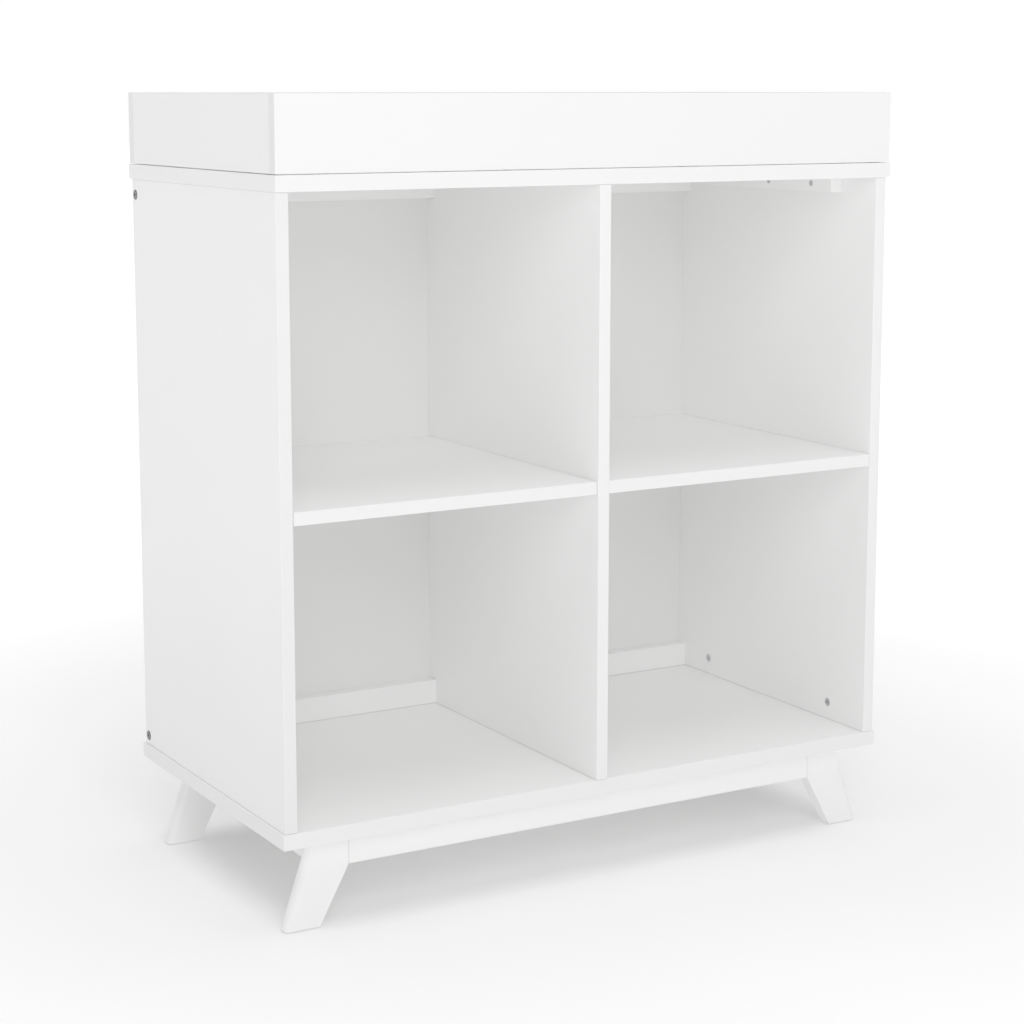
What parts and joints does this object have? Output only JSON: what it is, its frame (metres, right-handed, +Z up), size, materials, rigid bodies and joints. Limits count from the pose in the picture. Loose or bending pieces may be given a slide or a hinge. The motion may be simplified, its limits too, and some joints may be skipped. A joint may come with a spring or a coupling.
{
  "type": "changing table",
  "caption": "White changing table: an open cubby cabinet with fixed shelves on splayed legs, with a lift-off changing tray on top.",
  "frame": {"origin": "on the floor, at the middle of the part's bottom: the centre of its bounding box's lowest face", "axes": "+Z up; the front, with the open cubbies, faces -Y; +X is to the right seen from the front"},
  "size_m": [0.88, 0.455, 0.991],
  "materials": {
    "painted_board": "smooth satin white paint on engineered wood board",
    "painted_solid_wood": "satin white paint on solid wood",
    "white_hardboard": "white faced hardboard, matte",
    "beech_dowel": "bare fluted hardwood",
    "zinc_cam": "die cast zinc, dull",
    "zinc_steel": "bright zinc plated steel",
    "dark_zinc_bolt": "dark zinc plated steel, satin",
    "nylon_glide": "white nylon",
    "clear_pad": "translucent soft pad"
  },
  "bodies": {
    "cabinet": {"back_panel": "white_hardboard", "back_panel_nails": "zinc_steel", "base_dowels": "beech_dowel", "base_screws": "zinc_steel", "bottom_panel": "painted_board", "bottom_rear_rail": "painted_solid_wood", "carcass_cam_bolts": "zinc_steel", "carcass_cam_locks": "zinc_cam", "carcass_dowels": "beech_dowel", "center_divider": "painted_board", "cleat_side_screws": "zinc_steel", "cleat_top_screws": "zinc_steel", "divider_cam_bolts": "zinc_steel", "divider_cam_locks": "zinc_cam", "divider_through_bolts": "zinc_steel", "foot_glides": "nylon_glide", "front_apron": "painted_solid_wood", "front_left_leg": "painted_solid_wood", "front_right_leg": "painted_solid_wood", "left_shelf": "painted_board", "left_side_apron": "painted_solid_wood", "left_side_panel": "painted_board", "left_top_cleat": "painted_solid_wood", "rail_barrel_nuts": "zinc_steel", "rail_bolts": "dark_zinc_bolt", "rail_to_divider_screws": "zinc_steel", "rear_apron": "painted_solid_wood", "rear_left_leg": "painted_solid_wood", "rear_right_leg": "painted_solid_wood", "right_shelf": "painted_board", "right_side_apron": "painted_solid_wood", "right_side_panel": "painted_board", "right_top_cleat": "painted_solid_wood", "shelf_cam_bolts": "zinc_steel", "shelf_cam_locks": "zinc_cam", "shelf_dowels": "beech_dowel", "top_panel": "painted_board", "top_rear_rail": "painted_solid_wood"},
    "changing_tray": {"tray_bumper_pads": "clear_pad", "tray_cam_bolts": "zinc_steel", "tray_cam_locks": "zinc_cam", "tray_dowels": "beech_dowel", "tray_front_board": "painted_board", "tray_left_board": "painted_board", "tray_rear_board": "painted_board", "tray_right_board": "painted_board"}
  },
  "joints": [
    {"name": "tray_lift", "type": "slide", "parent": "cabinet", "child": "changing_tray", "axis": [0, 0, 1], "range_m": [0, 0.15]}
  ]
}
